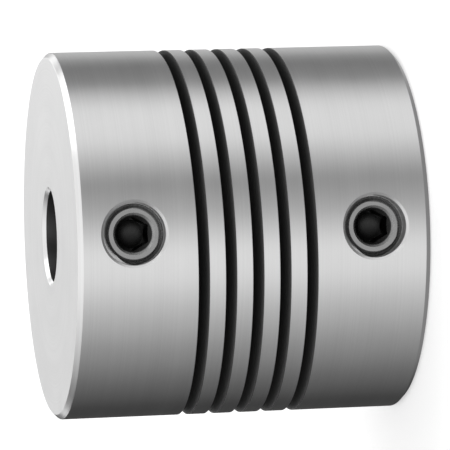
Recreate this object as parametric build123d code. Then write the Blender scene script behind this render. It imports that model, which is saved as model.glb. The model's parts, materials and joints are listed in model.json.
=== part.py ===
from build123d import *
import math
import os

# A one-piece beam coupling that stands on one end face, with its shaft axis along +Z.
# Lengths are in millimetres, and angles in degrees about the shaft axis, from +X towards +Y.

# Turned and bored blank
outer_diameter = 25.4
hub_length = 6.92  # from an end face to the nearest end hole of the helical cut
end_chamfer = 0.35
bore_diameter = 6.35
bore_chamfer = 0.25

# Helical cut between the hubs, which leaves the flexing beam
cut_width = 0.72
cut_pitch = 1.85
cut_turns = 5
cut_middle_angle = -75.0  # where the cut is at half the coupling's length
cut_edge_break = 0.03  # small flare of the cut where it meets the outside
cut_end_hole_diameter = 0.95  # round radial hole that ends the cut

# Wider bore behind the beam, which keeps the beam off the shaft
relief_depth = 0.85
relief_overlap = 0.25  # how far the relief runs on behind each hub

# Tapped holes and the set screws in them, with the threads drawn at their pitch diameter
screw_angle = -90.0
screw_from_end = 3.82  # from an end face to the screw's axis
screw_diameter = 3.65
screw_length = 7.94
thread_clearance = 0.03
hole_mouth_chamfer = 0.42
upper_screw_recess = 0.4  # from the outside of the coupling to the top of the screw
lower_screw_recess = 0.75

# Shape of one set screw
screw_end_chamfer = 0.13
screw_point_chamfer = 0.45
cup_diameter = 2.1
cup_half_angle = 59.0
socket_flats = 1.98
socket_depth = 2.4
socket_drill_half_angle = 59.0
socket_chamfer = 0.26  # width of the mouth's chamfer past the corners of the hexagon

# How far a cutting tool reaches past the surface that it opens
tool_overshoot = 0.3

outer_radius = outer_diameter / 2
bore_radius = bore_diameter / 2
relief_radius = bore_radius + relief_depth
screw_radius = screw_diameter / 2
tapped_radius = screw_radius + thread_clearance
cut_rise = cut_pitch * cut_turns
flexing_length = cut_rise + cut_end_hole_diameter
coupling_length = 2 * hub_length + flexing_length
middle_height = coupling_length / 2
lower_screw_height = screw_from_end
upper_screw_height = coupling_length - screw_from_end


def turned_blank():
    """Bar with chamfered ends, a bore and the relief behind the beam, as one turned profile."""
    relief_start = hub_length - relief_overlap
    relief_end = coupling_length - relief_start
    profile = Polyline(
        (bore_radius + bore_chamfer, 0),
        (outer_radius - end_chamfer, 0),
        (outer_radius, end_chamfer),
        (outer_radius, coupling_length - end_chamfer),
        (outer_radius - end_chamfer, coupling_length),
        (bore_radius + bore_chamfer, coupling_length),
        (bore_radius, coupling_length - bore_chamfer),
        (bore_radius, relief_end),
        (relief_radius, relief_end),
        (relief_radius, relief_start),
        (bore_radius, relief_start),
        (bore_radius, bore_chamfer),
        close=True,
    )
    return revolve(Plane.XZ * make_face(profile), Axis.Z, 360)


def tapped_hole(height):
    """Radial hole from the shaft bore to the outside of a hub."""
    length = outer_radius + tool_overshoot
    drill = Cylinder(tapped_radius, length, align=(Align.CENTER, Align.CENTER, Align.MIN))
    return Pos(0, 0, height) * Rot(0, 0, screw_angle) * Rot(0, 90, 0) * drill


def mouth_edge(body, height):
    """The edge where a tapped hole meets the outside of its hub."""
    mouth_centre = Vector(outer_radius, 0, height).rotate(Axis.Z, screw_angle)
    return body.edges().sort_by_distance(mouth_centre)[0]


def cut_half_section(axial_sign):
    """Corners of one side of the cut's section: radius, and height from the cut's middle."""
    half_width = cut_width / 2
    flare = cut_edge_break + tool_overshoot
    return [
        (bore_radius, axial_sign * half_width),
        (outer_radius - cut_edge_break, axial_sign * half_width),
        (outer_radius + tool_overshoot, axial_sign * (half_width + flare)),
    ]


def helical_cut():
    """The cut as one sweep of its section up a right-hand helix, from its first end hole."""
    mean_radius = (relief_radius + outer_radius) / 2
    path = Helix(cut_pitch, cut_rise, mean_radius)
    lower_side = cut_half_section(-1)
    upper_side = cut_half_section(1)
    upper_side.reverse()
    section = Plane.XZ * make_face(Polyline(*lower_side, *upper_side, close=True))
    return sweep(section, path, is_frenet=True)


def cut_end_hole():
    """Radial round hole that ends the cut, with the same broken edge at its mouth."""
    hole_radius = cut_end_hole_diameter / 2
    flare = cut_edge_break + tool_overshoot
    profile = Polyline(
        (bore_radius, 0),
        (bore_radius, hole_radius),
        (outer_radius - cut_edge_break, hole_radius),
        (outer_radius + tool_overshoot, hole_radius + flare),
        (outer_radius + tool_overshoot, 0),
        close=True,
    )
    return revolve(make_face(profile), Axis.X, 360)


def coupling_body():
    """Blank, less the tapped holes, the helical cut and the cut's two end holes."""
    body = turned_blank()
    for height in (lower_screw_height, upper_screw_height):
        body -= tapped_hole(height)
    for height in (lower_screw_height, upper_screw_height):
        body = chamfer(mouth_edge(body, height), hole_mouth_chamfer)
    cut_start_angle = cut_middle_angle - 180 * cut_turns
    cut_end_angle = cut_middle_angle + 180 * cut_turns
    cut_start_height = middle_height - cut_rise / 2
    cut_end_height = middle_height + cut_rise / 2
    body -= Pos(0, 0, cut_start_height) * Rot(0, 0, cut_start_angle) * helical_cut()
    body -= Pos(0, 0, cut_start_height) * Rot(0, 0, cut_start_angle) * cut_end_hole()
    body -= Pos(0, 0, cut_end_height) * Rot(0, 0, cut_end_angle) * cut_end_hole()
    return body


def set_screw():
    """Socket set screw with a cup point, from its point at x = 0 to its socket end along +X."""
    cup_radius = cup_diameter / 2
    cup_depth = cup_radius / math.tan(math.radians(cup_half_angle))
    profile = Polyline(
        (cup_depth, 0),
        (0, cup_radius),
        (0, screw_radius - screw_point_chamfer),
        (screw_point_chamfer, screw_radius),
        (screw_length - screw_end_chamfer, screw_radius),
        (screw_length, screw_radius - screw_end_chamfer),
        (screw_length, 0),
        close=True,
    )
    screw = revolve(make_face(profile), Axis.X, 360)
    return screw - socket_cut()


def socket_cut():
    """Hex socket with a drilled cone at its bottom and a chamfer at its mouth."""
    drill_radius = socket_flats / 2
    corner_radius = drill_radius / math.cos(math.radians(30))
    socket_bottom = screw_length - socket_depth
    cone_depth = drill_radius / math.tan(math.radians(socket_drill_half_angle))
    hexagon = RegularPolygon(drill_radius, 6, major_radius=False)
    hexagon_plane = Plane(origin=(socket_bottom, 0, 0), x_dir=(0, 1, 0), z_dir=(1, 0, 0))
    socket = extrude(hexagon_plane * hexagon, socket_depth + tool_overshoot)
    drilled_end = Polyline(
        (socket_bottom - cone_depth, 0),
        (socket_bottom, drill_radius),
        (socket_bottom, 0),
        close=True,
    )
    mouth_radius = corner_radius + socket_chamfer
    flared_mouth = Polyline(
        (screw_length - mouth_radius, 0),
        (screw_length + tool_overshoot, mouth_radius + tool_overshoot),
        (screw_length + tool_overshoot, 0),
        close=True,
    )
    socket += revolve(make_face(drilled_end), Axis.X, 360)
    socket += revolve(make_face(flared_mouth), Axis.X, 360)
    return socket


def placed_screw(height, recess):
    """A set screw in its tapped hole, with its socket end that far below the outside."""
    point_radius = outer_radius - recess - screw_length
    return Pos(0, 0, height) * Rot(0, 0, screw_angle) * Pos(point_radius, 0, 0) * set_screw()


nodes = {
    "coupling_body": coupling_body(),
    "upper_set_screw": placed_screw(upper_screw_height, upper_screw_recess),
    "lower_set_screw": placed_screw(lower_screw_height, lower_screw_recess),
}

os.makedirs("parts", exist_ok=True)
for name, shape in nodes.items():
    export_step(shape, f"parts/{name}.step")
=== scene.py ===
import json
import math
import time

import bpy
from mathutils import Matrix, Vector


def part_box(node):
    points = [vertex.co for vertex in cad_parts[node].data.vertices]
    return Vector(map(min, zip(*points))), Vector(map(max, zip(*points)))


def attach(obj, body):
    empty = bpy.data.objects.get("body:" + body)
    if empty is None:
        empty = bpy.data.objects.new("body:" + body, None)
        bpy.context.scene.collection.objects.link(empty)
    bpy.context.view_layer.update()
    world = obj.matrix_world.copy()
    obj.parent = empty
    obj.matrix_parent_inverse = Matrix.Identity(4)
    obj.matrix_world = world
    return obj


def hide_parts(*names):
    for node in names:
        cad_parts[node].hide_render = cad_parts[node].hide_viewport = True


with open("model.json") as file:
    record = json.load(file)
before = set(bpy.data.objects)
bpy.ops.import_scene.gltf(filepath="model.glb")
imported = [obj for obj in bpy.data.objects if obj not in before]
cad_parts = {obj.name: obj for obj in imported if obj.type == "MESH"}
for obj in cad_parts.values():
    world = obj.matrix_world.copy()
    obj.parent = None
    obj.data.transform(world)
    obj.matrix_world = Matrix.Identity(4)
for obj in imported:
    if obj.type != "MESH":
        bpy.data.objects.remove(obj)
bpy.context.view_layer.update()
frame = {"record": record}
startTime = time.time()

# Pieces are modelled in millimetres, and brought to metres when they are done
perMetre = 1000.0
weldGap = 1e-4
smoothBelow = math.radians(30)
flatToCorner = math.radians(30)  # in a hexagon
quarterTurn = math.pi / 2
fullTurn = 2 * math.pi
mounts = {mount["name"]: mount for mount in frame["record"]["mounts"]}


def tell(*words):
    print(*words, round(time.time() - startTime, 1))


# Selecting and editing

def objectMode():
    if bpy.context.mode != "OBJECT":
        bpy.ops.object.mode_set(mode="OBJECT")


def pick(piece):
    objectMode()
    bpy.ops.object.select_all(action="DESELECT")
    piece.select_set(True)
    bpy.context.view_layer.objects.active = piece


def editAll(piece):
    pick(piece)
    bpy.ops.object.mode_set(mode="EDIT")
    bpy.ops.mesh.select_mode(type="VERT")
    bpy.ops.mesh.select_all(action="SELECT")


def editCorners(piece, isWanted):
    editAll(piece)
    bpy.ops.mesh.select_all(action="DESELECT")
    objectMode()
    for corner in piece.data.vertices:
        corner.select = isWanted(corner.co)
    bpy.ops.object.mode_set(mode="EDIT")


def applyPlace(piece):
    pick(piece)
    bpy.ops.object.transform_apply(location=True, rotation=True, scale=True)


def applyLast(piece):
    pick(piece)
    bpy.ops.object.modifier_apply(modifier=piece.modifiers[-1].name)


def weld(piece):
    editAll(piece)
    bpy.ops.mesh.remove_doubles(threshold=weldGap)
    bpy.ops.mesh.normals_make_consistent(inside=False)
    objectMode()


# Shaping

def drawLine(name, points):
    # One corner of a plane is left, and is pulled from point to point
    bpy.ops.object.select_all(action="DESELECT")
    bpy.ops.mesh.primitive_plane_add(size=2, location=(0, 0, 0))
    line = bpy.context.object
    line.name = name
    editCorners(line, lambda place: place.x > 0 or place.y > 0)
    bpy.ops.mesh.delete(type="VERT")
    bpy.ops.mesh.select_all(action="SELECT")
    stops = [Vector((radius, 0, height)) for radius, height in points]
    bpy.ops.transform.translate(value=stops[0] - Vector((-1, -1, 0)))
    for start, end in zip(stops, stops[1:]):
        bpy.ops.mesh.extrude_vertices_move(TRANSFORM_OT_translate={"value": end - start})
    objectMode()
    return line


def spinRound(piece, steps):
    editAll(piece)
    bpy.ops.mesh.spin(steps=steps, angle=fullTurn, center=(0, 0, 0), axis=(0, 0, 1))
    weld(piece)


def windUp(piece, rise, turns, steps):
    pick(piece)
    bpy.ops.object.modifier_add(type="SCREW")
    winding = piece.modifiers[-1]
    winding.angle = fullTurn
    winding.screw_offset = rise
    winding.iterations = turns
    winding.steps = steps
    winding.render_steps = steps
    winding.use_smooth_shade = False
    applyLast(piece)
    weld(piece)


def closeHoles(piece):
    editAll(piece)
    bpy.ops.mesh.fill_holes(sides=0)
    objectMode()
    weld(piece)


def trimEnds(piece, low, high):
    editAll(piece)
    bpy.ops.mesh.bisect(plane_co=(0, 0, low), plane_no=(0, 0, 1),
                        clear_inner=True, threshold=weldGap)
    bpy.ops.mesh.select_all(action="SELECT")
    bpy.ops.mesh.bisect(plane_co=(0, 0, high), plane_no=(0, 0, 1),
                        clear_outer=True, threshold=weldGap)
    closeHoles(piece)


def combine(piece, tool, operation):
    pick(piece)
    bpy.ops.object.modifier_add(type="BOOLEAN")
    boolean = piece.modifiers[-1]
    boolean.operation = operation
    boolean.solver = "EXACT"
    boolean.object = tool
    applyLast(piece)
    bpy.data.objects.remove(tool)
    tell("combined", piece.name, operation, len(piece.data.polygons))


def copyOf(piece, name):
    pick(piece)
    bpy.ops.object.duplicate()
    copied = bpy.context.object
    copied.name = name
    return copied


def pointOut(piece, height):
    # Turns a piece modelled along +Z to look out of the coupling's front
    pick(piece)
    piece.rotation_euler = (quarterTurn, 0, 0)
    piece.location = (0, 0, height)
    applyPlace(piece)


def finishPiece(piece, node):
    # Faces are weighed in square millimetres, because in square metres they are too small
    pick(piece)
    bpy.ops.object.shade_smooth_by_angle(angle=smoothBelow)
    bpy.ops.object.modifier_add(type="WEIGHTED_NORMAL")
    piece.modifiers[-1].keep_sharp = True
    applyLast(piece)
    piece.scale = (1 / perMetre, 1 / perMetre, 1 / perMetre)
    applyPlace(piece)
    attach(piece, "root")
    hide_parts(node)
    tell("finished", piece.name, len(piece.data.polygons))


# Coupling body: the turned blank

lowCorner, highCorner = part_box("coupling_body")
coupling = {
    "radius": max(highCorner.x, highCorner.y, -lowCorner.x, -lowCorner.y) * perMetre,
    "length": highCorner.z * perMetre,
    "boreRadius": mounts["upper_bore"]["dims"]["r_mm"],
    "hubLength": 6.92,
    "endChamfer": 0.35,
    "boreChamfer": 0.25,
    "edgeRound": 0.03,
    "roundSegments": 2,
    "reliefDepth": 0.85,
    "reliefOverlap": 0.25,
    "aroundSteps": 480,
    "overshoot": 0.3,  # how far a tool reaches past the surface that it opens
}
print("coupling", coupling)
middleHeight = coupling["length"] / 2
reliefRadius = coupling["boreRadius"] + coupling["reliefDepth"]
reliefStart = coupling["hubLength"] - coupling["reliefOverlap"]
reliefEnd = coupling["length"] - reliefStart


def slicePlane(piece, point, normal):
    editAll(piece)
    bpy.ops.mesh.bisect(plane_co=point, plane_no=normal, threshold=weldGap)
    objectMode()


def bevelCorners(piece, isWanted, width, segments=1):
    editCorners(piece, isWanted)
    bpy.ops.mesh.bevel(offset=width, affect="VERTICES", offset_type="OFFSET", segments=segments)
    objectMode()


def turnedBlank():
    wall = coupling["radius"] - coupling["boreRadius"]
    wallMiddle = coupling["boreRadius"] + wall / 2
    reliefMiddle = coupling["boreRadius"] + coupling["reliefDepth"] / 2
    bpy.ops.object.select_all(action="DESELECT")
    bpy.ops.mesh.primitive_plane_add(
        size=1, location=(wallMiddle, 0, middleHeight), rotation=(quarterTurn, 0, 0))
    blank = bpy.context.object
    blank.name = "couplingBody"
    blank.scale = (wall, coupling["length"], 1)
    applyPlace(blank)
    slicePlane(blank, (0, 0, reliefStart), (0, 0, 1))
    slicePlane(blank, (0, 0, reliefEnd), (0, 0, 1))
    slicePlane(blank, (reliefRadius, 0, 0), (1, 0, 0))
    for face in blank.data.polygons:
        face.select = face.center.x < reliefRadius and reliefStart < face.center.z < reliefEnd
    bpy.ops.object.mode_set(mode="EDIT")
    bpy.ops.mesh.select_mode(type="FACE")
    bpy.ops.mesh.delete(type="FACE")
    bpy.ops.mesh.select_all(action="SELECT")
    bpy.ops.mesh.dissolve_faces()
    objectMode()

    def isEnd(place):
        return abs(place.z - middleHeight) > middleHeight - coupling["hubLength"] / 2

    bevelCorners(blank, lambda place: isEnd(place) and place.x > wallMiddle,
                 coupling["endChamfer"])
    bevelCorners(blank, lambda place: isEnd(place) and place.x < reliefMiddle,
                 coupling["boreChamfer"])
    bevelCorners(blank, isEnd, coupling["edgeRound"], coupling["roundSegments"])
    editAll(blank)
    bpy.ops.mesh.delete(type="ONLY_FACE")
    spinRound(blank, coupling["aroundSteps"])
    return blank


body = turnedBlank()
tell("blank turned", len(body.data.polygons))

# Coupling body: the helical cut and the round holes that end it

cut = {
    "width": 0.72,
    "pitch": 1.85,
    "turns": 5,
    "middleAngle": math.radians(-75),
    "edgeBreak": 0.03,
    "endHoleRadius": 0.475,
    "turnSteps": 240,
    "holeSteps": 64,
}
cutRise = cut["pitch"] * cut["turns"]
cutStartAngle = cut["middleAngle"] - math.pi * cut["turns"]
cutEndAngle = cut["middleAngle"] + math.pi * cut["turns"]
cutStartHeight = middleHeight - cutRise / 2
cutEndHeight = middleHeight + cutRise / 2
cutFlare = cut["edgeBreak"] + coupling["overshoot"]
cutShoulder = coupling["radius"] - cut["edgeBreak"]
pastOutside = coupling["radius"] + coupling["overshoot"]


def helicalCutter():
    halfWidth = cut["width"] / 2
    inner = coupling["boreRadius"]
    cutter = drawLine("cutter", [
        (inner, -halfWidth),
        (cutShoulder, -halfWidth),
        (pastOutside, -halfWidth - cutFlare),
        (pastOutside, halfWidth + cutFlare),
        (cutShoulder, halfWidth),
        (inner, halfWidth),
        (inner, -halfWidth),
    ])
    windUp(cutter, cut["pitch"], cut["turns"], cut["turnSteps"])
    closeHoles(cutter)
    cutter.rotation_euler = (0, 0, cutStartAngle)
    cutter.location = (0, 0, cutStartHeight)
    applyPlace(cutter)
    return cutter


def cutEndDrill(angle, height):
    drill = drawLine("drill", [
        (0, coupling["boreRadius"]),
        (cut["endHoleRadius"], coupling["boreRadius"]),
        (cut["endHoleRadius"], cutShoulder),
        (cut["endHoleRadius"] + cutFlare, pastOutside),
        (0, pastOutside),
    ])
    spinRound(drill, cut["holeSteps"])
    drill.rotation_euler = (quarterTurn, 0, angle + quarterTurn)
    drill.location = (0, 0, height)
    applyPlace(drill)
    return drill


combine(body, helicalCutter(), "DIFFERENCE")
combine(body, cutEndDrill(cutStartAngle, cutStartHeight), "DIFFERENCE")
combine(body, cutEndDrill(cutEndAngle, cutEndHeight), "DIFFERENCE")

# Thread that the set screws and their tapped holes share

thread = {
    "pitch": 0.794,
    "rootFlat": 0.22,
    "crestFlat": 0.12,
    "rootRadius": 1.64,
    "crestRadius": 2.03,
    "clearance": 0.05,
    "turnSteps": 72,
    "spareBelow": 2,  # turns past each end, which are trimmed off again
    "spareAbove": 1,
}


def threadedRod(name, lowEnd, highEnd, extraRadius):
    # The thread's phase is counted from height 0, which is the screw's point
    pitch = thread["pitch"]
    flank = (pitch - thread["rootFlat"] - thread["crestFlat"]) / 2
    root = thread["rootRadius"] + extraRadius
    crest = thread["crestRadius"] + extraRadius
    firstTurn = math.floor(lowEnd / pitch) - thread["spareBelow"]
    lastTurn = math.ceil(highEnd / pitch) + thread["spareAbove"]
    start = firstTurn * pitch
    rod = drawLine(name, [
        (root, start),
        (root, start + thread["rootFlat"]),
        (crest, start + thread["rootFlat"] + flank),
        (crest, start + thread["rootFlat"] + flank + thread["crestFlat"]),
        (root, start + pitch),
    ])
    windUp(rod, pitch, lastTurn - firstTurn, thread["turnSteps"])
    trimEnds(rod, lowEnd, highEnd)
    return rod


# Set screws

screw = {
    "length": 7.94,
    "radius": 1.825,
    "endChamfer": 0.13,
    "pointChamfer": 0.45,
    "cupRadius": 1.05,
    "cupHalfAngle": math.radians(59),
    "socketFlats": 1.98,
    "socketDepth": 2.4,
    "socketDrillHalfAngle": math.radians(59),
    "socketChamfer": 0.26,
    "throatInset": 0.1,  # keeps the drill inside the hexagon's flats
    "spareLength": 0.5,
    "aroundSteps": 180,
    "socketSteps": 96,
}
socketCorner = screw["socketFlats"] / 2 / math.cos(flatToCorner)


def screwEnvelope():
    cupDepth = screw["cupRadius"] / math.tan(screw["cupHalfAngle"])
    outer = thread["crestRadius"] + thread["clearance"]
    past = outer - screw["radius"]
    length = screw["length"]
    envelope = drawLine("envelope", [
        (0, cupDepth),
        (screw["cupRadius"], 0),
        (screw["radius"] - screw["pointChamfer"], 0),
        (outer, screw["pointChamfer"] + past),
        (outer, length - screw["endChamfer"] - past),
        (screw["radius"] - screw["endChamfer"], length),
        (0, length),
    ])
    spinRound(envelope, screw["aroundSteps"])
    return envelope


def socketCutter():
    height = screw["socketDepth"] + coupling["overshoot"]
    bpy.ops.object.select_all(action="DESELECT")
    bpy.ops.mesh.primitive_cylinder_add(
        vertices=6, radius=socketCorner, depth=height, rotation=(0, 0, flatToCorner),
        location=(0, 0, screw["length"] - screw["socketDepth"] + height / 2))
    cutter = bpy.context.object
    applyPlace(cutter)
    return cutter


def socketDrill():
    drillRadius = screw["socketFlats"] / 2
    bottom = screw["length"] - screw["socketDepth"]
    flareRadius = socketCorner + screw["socketChamfer"]
    over = coupling["overshoot"]
    coneDepth = drillRadius / math.tan(screw["socketDrillHalfAngle"])
    throat = drillRadius - screw["throatInset"]
    drill = drawLine("drill", [
        (0, bottom - coneDepth),
        (drillRadius, bottom),
        (throat, bottom + screw["throatInset"]),
        (throat, screw["length"] - flareRadius + throat),
        (flareRadius + over, screw["length"] + over),
        (0, screw["length"] + over),
    ])
    spinRound(drill, screw["socketSteps"])
    return drill


def setScrew():
    made = threadedRod("setScrew", -screw["spareLength"], screw["length"] + screw["spareLength"], 0)
    combine(made, screwEnvelope(), "INTERSECT")
    combine(made, socketCutter(), "DIFFERENCE")
    combine(made, socketDrill(), "DIFFERENCE")
    return made


screwPlaces = {}
for node in ("upper_set_screw", "lower_set_screw"):
    low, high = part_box(node)
    screwPlaces[node] = {
        "height": (low.z + high.z) / 2 * perMetre,
        "point": -high.y * perMetre,
        "top": -low.y * perMetre,
    }
print("screws", screwPlaces)

upperScrew = setScrew()
lowerScrew = copyOf(upperScrew, "lowerSetScrew")
upperScrew.name = "upperSetScrew"

# Tapped holes, each with its screw's own thread start, and their opened mouths

mouth = {
    "rimRadius": 2.275,
    "rimWidth": 0.17,
    "pastScrew": 0.45,
    "aroundSteps": 144,
}
mouthWall = mouth["rimRadius"] - mouth["rimWidth"]


def tappedHoleTool(place):
    point = place["point"]
    tool = threadedRod("tap", -point, pastOutside - point, thread["clearance"])
    tool.location = (0, 0, point)
    applyPlace(tool)
    pointOut(tool, place["height"])
    return tool


def mouthTool(place):
    radius = coupling["radius"]
    floorHeight = place["top"] - mouth["pastScrew"]
    tool = drawLine("mouth", [
        (0, floorHeight),
        (mouthWall, floorHeight),
        (mouthWall, radius - mouth["rimWidth"]),
        (mouth["rimRadius"] + coupling["overshoot"], pastOutside),
        (0, pastOutside),
    ])
    spinRound(tool, mouth["aroundSteps"])
    editAll(tool)
    bpy.ops.mesh.quads_convert_to_tris()
    objectMode()
    # The broken edge keeps its width all round the curved mouth
    for corner in tool.data.vertices:
        corner.co.z -= radius - math.sqrt(radius ** 2 - corner.co.x ** 2)
    pointOut(tool, place["height"])
    return tool


for place in screwPlaces.values():
    combine(body, tappedHoleTool(place), "DIFFERENCE")
    combine(body, mouthTool(place), "DIFFERENCE")

for made, node in ((upperScrew, "upper_set_screw"), (lowerScrew, "lower_set_screw")):
    made.location = (0, 0, screwPlaces[node]["point"])
    applyPlace(made)
    pointOut(made, screwPlaces[node]["height"])

weld(body)
finishPiece(body, "coupling_body")
finishPiece(upperScrew, "upper_set_screw")
finishPiece(lowerScrew, "lower_set_screw")


# Materials

def newMaterial(name):
    material = bpy.data.materials.new(name)
    material.use_nodes = True
    material.node_tree.nodes.clear()
    return material


def addNode(tree, kind, **settings):
    node = tree.nodes.new(kind)
    for setting, value in settings.items():
        setattr(node, setting, value)
    return node


def feed(tree, socket, value):
    # A number or colour is set on the socket, and an output is linked to it
    if isinstance(value, bpy.types.NodeSocket):
        tree.links.new(value, socket)
    else:
        socket.default_value = value


def calculate(tree, operation, *values):
    node = addNode(tree, "ShaderNodeMath", operation=operation)
    for socket, value in zip(node.inputs, values):
        feed(tree, socket, value)
    return node.outputs[0]


def vectorMath(tree, operation, *values):
    node = addNode(tree, "ShaderNodeVectorMath", operation=operation)
    for socket, value in zip(node.inputs, values):
        feed(tree, socket, value)
    return node.outputs[0]


def split(tree, vector):
    node = addNode(tree, "ShaderNodeSeparateXYZ")
    feed(tree, node.inputs[0], vector)
    return node.outputs


def rescale(tree, value, low, high, newLow, newHigh):
    node = addNode(tree, "ShaderNodeMapRange", clamp=True)
    for name, number in (("Value", value), ("From Min", low), ("From Max", high),
                         ("To Min", newLow), ("To Max", newHigh)):
        feed(tree, node.inputs[name], number)
    return node.outputs[0]


def spread(tree, value, middle, half):
    # Brings a noise from 0..1 to so much on either side of the middle
    return rescale(tree, value, 0.0, 1.0, middle - half, middle + half)


def within(tree, value, limit, fade):
    # 1 up to the limit, and 0 from the end of the fade on, both in millimetres
    return rescale(tree, value, limit / perMetre, (limit + fade) / perMetre, 1.0, 0.0)


def noise(tree, dimensions, place, scale, detail, roughness):
    node = addNode(tree, "ShaderNodeTexNoise", noise_dimensions=dimensions)
    feed(tree, node.inputs["W" if dimensions == "1D" else "Vector"], place)
    node.inputs["Scale"].default_value = scale
    node.inputs["Detail"].default_value = detail
    node.inputs["Roughness"].default_value = roughness
    return node.outputs[0]


def blend(tree, factor, first, second):
    node = addNode(tree, "ShaderNodeMix")
    feed(tree, node.inputs["Factor"], factor)
    feed(tree, node.inputs["A"], first)
    feed(tree, node.inputs["B"], second)
    return node.outputs["Result"]


def distance(tree, first, second):
    squares = [calculate(tree, "MULTIPLY", side, side) for side in (first, second)]
    return calculate(tree, "SQRT", calculate(tree, "ADD", *squares))


def fromMiddle(tree, apart):
    return calculate(tree, "ABSOLUTE", calculate(
        tree, "SUBTRACT", apart["Z"], middleHeight / perMetre))


def fromScrews(tree, apart):
    # Both screws lie as far from the coupling's middle, so one distance finds either axis
    screwHeight = screwPlaces["upper_set_screw"]["height"] - middleHeight
    along = calculate(tree, "SUBTRACT", fromMiddle(tree, apart), screwHeight / perMetre)
    return distance(tree, apart["X"], along)


def metal(tree, tone, roughness, height, depth):
    shader = addNode(tree, "ShaderNodeBsdfPrincipled")
    colour = addNode(tree, "ShaderNodeCombineColor")
    for channel in colour.inputs:
        feed(tree, channel, tone)
    feed(tree, shader.inputs["Base Color"], colour.outputs[0])
    shader.inputs["Metallic"].default_value = 1.0
    feed(tree, shader.inputs["Roughness"], roughness)
    bump = addNode(tree, "ShaderNodeBump")
    bump.inputs["Strength"].default_value = 1.0
    bump.inputs["Distance"].default_value = depth
    feed(tree, bump.inputs["Height"], height)
    feed(tree, shader.inputs["Normal"], bump.outputs[0])
    return shader


def showSurface(tree, surface, kind="ShaderNodeOutputMaterial"):
    output = addNode(tree, kind)
    feed(tree, output.inputs["Surface"], surface)


def paint(piece, material):
    piece.data.materials.clear()
    piece.data.materials.append(material)


# Each noise is its scale, detail and roughness, depths are in metres, and fades in millimetres
aluminium = {
    "tone": 0.76,
    "toneSpread": 0.1,
    "roughness": 0.31,
    "roughnessSpread": 0.05,
    "anisotropy": 0.8,
    "anisotropyTurn": 0.25,
    "grooves": (7000.0, 3.0, 0.6),
    "bands": (900.0, 3.0, 0.5),
    "clouds": (350.0, 3.0, 0.5),
    "grooveDepth": 0.000002,
    "markShare": 0.35,
    "cloudShare": 0.3,
    "roughShare": 0.5,
    "faceSteepness": 0.8,
    # painted shade: the dark tone of the slot's walls
    "cutWallShadeTone": 0.16,
    "cutRoughness": 0.6,
    "cutSteepness": 0.6,
    # painted shade: the dark tone inside the bore
    "boreShadeTone": 0.15,
    "boreSteepness": 0.3,
    "wideFade": 0.1,
    # painted shade: the darker tone of the tapped holes' walls
    "threadShadeTone": 0.6,
    "threadStart": 0.01,
    "threadFade": 0.03,
}


def turnedAluminium():
    material = newMaterial("turnedAluminium")
    tree = material.node_tree
    place = addNode(tree, "ShaderNodeTexCoord").outputs["Object"]
    normal = addNode(tree, "ShaderNodeNewGeometry").outputs["Normal"]
    apart = split(tree, place)
    fromAxis = distance(tree, apart["X"], apart["Y"])
    steepness = calculate(tree, "ABSOLUTE", split(tree, normal)["Z"])

    # The tool's marks run round the shaft axis: stacked along it on the sides, ringed on the faces
    onFace = calculate(tree, "GREATER_THAN", steepness, aluminium["faceSteepness"])
    groovePlace = blend(tree, onFace, apart["Z"], fromAxis)
    grooves = noise(tree, "1D", groovePlace, *aluminium["grooves"])
    bands = noise(tree, "1D", groovePlace, *aluminium["bands"])
    clouds = noise(tree, "3D", place, *aluminium["clouds"])
    marks = calculate(tree, "MULTIPLY", calculate(tree, "ADD", grooves, bands),
                      aluminium["markShare"])
    toneNoise = calculate(tree, "ADD", marks, calculate(
        tree, "MULTIPLY", clouds, aluminium["cloudShare"]))
    turnedTone = spread(tree, toneNoise, aluminium["tone"], aluminium["toneSpread"])
    roughNoise = calculate(tree, "MULTIPLY", calculate(tree, "ADD", bands, clouds),
                           aluminium["roughShare"])
    turnedRoughness = spread(tree, roughNoise, aluminium["roughness"],
                             aluminium["roughnessSpread"])

    # The bore was drilled, and painted shade gives its inside a dark tone, for the shade that falls
    # in the hole
    boreShadeMask = calculate(
        tree, "MULTIPLY", calculate(tree, "LESS_THAN", steepness, aluminium["boreSteepness"]),
        within(tree, fromAxis, reliefRadius + aluminium["wideFade"], aluminium["wideFade"]))
    # Painted shade: the walls of the tapped holes get a darker tone, for the shade inside them
    threadShadeMask = calculate(
        tree, "MULTIPLY", calculate(tree, "LESS_THAN", apart["Y"], 0.0),
        within(tree, fromScrews(tree, apart), mouthWall + aluminium["threadStart"],
               aluminium["threadFade"]))
    # The slot's walls are rougher than what the lathe left, and their dark tone is painted shade
    # inside the deep narrow cut
    cutShadeAndRoughMask = calculate(
        tree, "MULTIPLY", calculate(tree, "GREATER_THAN", steepness, aluminium["cutSteepness"]),
        within(tree, fromMiddle(tree, apart), middleHeight - coupling["hubLength"],
               aluminium["wideFade"]))
    tone = blend(tree, boreShadeMask, turnedTone, aluminium["boreShadeTone"])
    tone = blend(tree, threadShadeMask, tone, aluminium["threadShadeTone"])
    tone = blend(tree, cutShadeAndRoughMask, tone, aluminium["cutWallShadeTone"])
    roughness = blend(tree, cutShadeAndRoughMask, turnedRoughness, aluminium["cutRoughness"])

    shader = metal(tree, tone, roughness, grooves, aluminium["grooveDepth"])
    shader.inputs["Anisotropic"].default_value = aluminium["anisotropy"]
    shader.inputs["Anisotropic Rotation"].default_value = aluminium["anisotropyTurn"]
    # Round the sides the sheen follows the grooves, and on the end faces it lies one way all over
    tangentMix = addNode(tree, "ShaderNodeMix", data_type="VECTOR")
    feed(tree, tangentMix.inputs["Factor"], onFace)
    feed(tree, tangentMix.inputs[4], vectorMath(tree, "CROSS_PRODUCT", (0, 0, 1), place))
    tangentMix.inputs[5].default_value = (1, 0, 0)
    feed(tree, shader.inputs["Tangent"], vectorMath(tree, "NORMALIZE", tangentMix.outputs[1]))
    showSurface(tree, shader.outputs[0])
    return material


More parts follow.
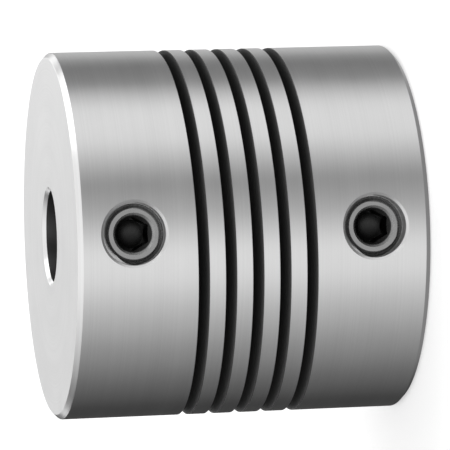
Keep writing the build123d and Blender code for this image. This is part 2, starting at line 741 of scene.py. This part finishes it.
steel = {
    "tone": 0.38,
    "toneSpread": 0.05,
    "roughness": 0.28,
    "roughnessSpread": 0.06,
    "clouds": (900.0, 4.0, 0.6),
    "grain": (6000.0, 3.0, 0.6),
    "grainDepth": 0.000003,
    # painted shade: the near-black tone inside the hex socket
    "socketShadeTone": 0.04,
    "socketReach": 0.086,  # past the hexagon's corners, before the fade
    "socketFade": 0.051,
    # painted shade: the dark tone of the screw's end chamfer
    "chamferShadeTone": 0.17,
    "chamferShift": 0.018,
    "chamferFade": 0.07,
}


def darkSteel():
    material = newMaterial("darkSteel")
    tree = material.node_tree
    place = addNode(tree, "ShaderNodeTexCoord").outputs["Object"]
    apart = split(tree, place)
    fromScrewAxis = fromScrews(tree, apart)
    clouds = noise(tree, "3D", place, *steel["clouds"])
    grain = noise(tree, "3D", place, *steel["grain"])

    # Painted shade: the hex socket's inside gets a near-black tone. The cup at the point is no
    # socket, so only the outer half of a screw has one
    outerHalf = within(tree, apart["Y"], screw["length"] / 2 - coupling["radius"],
                       steel["socketFade"])
    socketShadeMask = calculate(tree, "MULTIPLY", outerHalf, within(
        tree, fromScrewAxis, socketCorner + steel["socketReach"], steel["socketFade"]))
    # Painted shade: the end's chamfer gets a dark tone, for the shadow of the hole's rim, while the
    # end face and the crests keep the plain steel tone
    faceRim = screw["radius"] - screw["endChamfer"] - steel["chamferShift"]
    crestRim = screw["radius"] + steel["chamferShift"]
    onFace = within(tree, fromScrewAxis, faceRim, steel["chamferFade"])
    chamferShadeMask = calculate(tree, "MULTIPLY", calculate(tree, "SUBTRACT", 1.0, onFace),
                          within(tree, fromScrewAxis, crestRim, steel["chamferFade"]))
    plainTone = spread(tree, clouds, steel["tone"], steel["toneSpread"])
    tone = blend(tree, chamferShadeMask, plainTone, steel["chamferShadeTone"])
    tone = blend(tree, socketShadeMask, tone, steel["socketShadeTone"])
    roughness = spread(tree, grain, steel["roughness"], steel["roughnessSpread"])
    showSurface(tree, metal(tree, tone, roughness, grain, steel["grainDepth"]).outputs[0])
    return material


paint(body, turnedAluminium())
screwSteel = darkSteel()
paint(upperScrew, screwSteel)
paint(lowerScrew, screwSteel)
tell("materials")

# Floor: pale, shows as white, and takes the soft shadow

stageSizes = {"floorHalf": 1.2, "floorTone": 0.8, "floorLift": 0.38}


def paleFloor():
    material = newMaterial("paleFloor")
    tree = material.node_tree
    tone = stageSizes["floorTone"]
    diffuse = addNode(tree, "ShaderNodeBsdfDiffuse")
    diffuse.inputs["Color"].default_value = (tone, tone, tone, 1)
    seen = addNode(tree, "ShaderNodeLightPath").outputs["Is Camera Ray"]
    lift = addNode(tree, "ShaderNodeEmission")
    feed(tree, lift.inputs["Strength"],
         calculate(tree, "MULTIPLY", seen, stageSizes["floorLift"]))
    both = addNode(tree, "ShaderNodeAddShader")
    feed(tree, both.inputs[0], diffuse.outputs[0])
    feed(tree, both.inputs[1], lift.outputs[0])
    showSurface(tree, both.outputs[0])
    return material


bpy.ops.object.select_all(action="DESELECT")
bpy.ops.mesh.primitive_plane_add(size=2 * stageSizes["floorHalf"], location=(0, 0, 0))
floor = bpy.context.object
floor.name = "floor"
paint(floor, paleFloor())
floor.visible_glossy = False
floor.visible_shadow = False
tell("floor")

# Light: a soft studio all round, with one broad lit side at the front and one on the right

# Direction in degrees from the front towards +X, and how bright the studio is there
studio = {
    "around": [(-180, 0.03), (-140, 0.035), (-105, 0.125), (-75, 0.265), (-50, 0.46), (-28, 0.7),
               (-12, 0.74), (0, 0.57), (12, 0.38), (32, 0.225), (60, 0.68), (84, 0.68), (97, 0.46),
               (108, 0.19), (130, 0.14), (140, 0.22), (150, 0.36), (170, 0.42), (180, 0.03)],
    "strength": 1.35,
    "overheadTone": 1.15,
    "overheadStart": 0.42,
    "overheadFull": 0.96,
    "underTone": 0.26,
    "underStart": -0.5,
    "underFull": -0.7,
    "seenTone": 1.0,  # what the camera sees behind the floor, where 1 is white
}

world = bpy.data.worlds.new("studio")
bpy.context.scene.world = world
world.use_nodes = True
worldTree = world.node_tree
worldTree.nodes.clear()
way = split(worldTree, addNode(worldTree, "ShaderNodeTexCoord").outputs["Generated"])
azimuth = calculate(worldTree, "ARCTAN2", way["X"],
                    calculate(worldTree, "MULTIPLY", way["Y"], -1.0))
ramp = addNode(worldTree, "ShaderNodeValToRGB")
feed(worldTree, ramp.inputs[0], rescale(worldTree, azimuth, -math.pi, math.pi, 0.0, 1.0))
stops = ramp.color_ramp.elements
while len(stops) > 1:
    stops.remove(stops[-1])
for index, (degrees, tone) in enumerate(studio["around"]):
    stop = stops[0] if index == 0 else stops.new((degrees + 180) / 360)
    stop.color = (tone, tone, tone, 1)
wallLight = calculate(worldTree, "MULTIPLY", ramp.outputs[0], studio["strength"])
under = rescale(worldTree, way["Z"], studio["underFull"], studio["underStart"], 1.0, 0.0)
notOverhead = rescale(worldTree, way["Z"], studio["overheadStart"], studio["overheadFull"],
                      1.0, 0.0)
studioLight = blend(worldTree, notOverhead, studio["overheadTone"],
                    blend(worldTree, under, wallLight, studio["underTone"]))
seen = addNode(worldTree, "ShaderNodeLightPath").outputs["Is Camera Ray"]
background = addNode(worldTree, "ShaderNodeBackground")
background.inputs["Color"].default_value = (1, 1, 1, 1)
feed(worldTree, background.inputs["Strength"],
     blend(worldTree, seen, studioLight, studio["seenTone"]))
showSurface(worldTree, background.outputs[0], "ShaderNodeOutputWorld")

# Angles in degrees, from the front towards +X and then up, and lengths in metres
panels = {
    "sidePanel": {"around": 114, "up": 42, "away": 0.8, "width": 0.75, "height": 0.5,
                  "brightness": 1.1},
    "backPanel": {"around": 180, "up": 22, "away": 0.8, "width": 0.9, "height": 0.35,
                  "brightness": 0.76},
}
wattsPerArea = 4.0  # that a panel of brightness 1 needs
middle = Vector((0, 0, middleHeight / perMetre))


def softPanel(name, panel):
    around = math.radians(panel["around"])
    up = math.radians(panel["up"])
    out = Vector((math.sin(around) * math.cos(up), -math.cos(around) * math.cos(up), math.sin(up)))
    bpy.ops.object.light_add(type="AREA", location=middle + out * panel["away"])
    lamp = bpy.context.object
    lamp.name = name
    lamp.rotation_euler = (-out).to_track_quat("-Z", "Y").to_euler()
    lamp.data.shape = "RECTANGLE"
    lamp.data.size = panel["width"]
    lamp.data.size_y = panel["height"]
    lamp.data.energy = panel["brightness"] * wattsPerArea * panel["width"] * panel["height"]
    lamp.visible_camera = False


for name, panel in panels.items():
    softPanel(name, panel)
tell("lights", len(panels))

# Camera, rolled so that the shaft axis lies nearly level in the picture

view = {
    "yaw": math.radians(11.2),
    "roll": math.radians(1.84),
    "distance": 0.2605,
    "lens": 298.1,
    "sensor": 36.0,
    "right": 0.000376,
    "up": 0.000407,
    "clipStart": 0.01,
}
sinYaw, cosYaw = math.sin(view["yaw"]), math.cos(view["yaw"])
sinRoll, cosRoll = math.sin(view["roll"]), math.cos(view["roll"])
pictureRight = Vector((-sinRoll, -cosRoll * sinYaw, -cosRoll * cosYaw))
pictureUp = Vector((cosRoll, -sinRoll * sinYaw, -sinRoll * cosYaw))
towardsCamera = Vector((0, -cosYaw, sinYaw))
stand = (middle + towardsCamera * view["distance"]
         + pictureRight * view["right"] + pictureUp * view["up"])
bpy.ops.object.camera_add(location=stand)
camera = bpy.context.object
camera.matrix_world = Matrix((pictureRight, pictureUp, towardsCamera)).transposed().to_4x4()
camera.location = stand
camera.data.lens = view["lens"]
camera.data.sensor_width = view["sensor"]
camera.data.clip_start = view["clipStart"]
camera.data.dof.use_dof = False
bpy.context.scene.camera = camera
bpy.context.scene.view_settings.view_transform = "Standard"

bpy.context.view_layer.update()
tell("done")
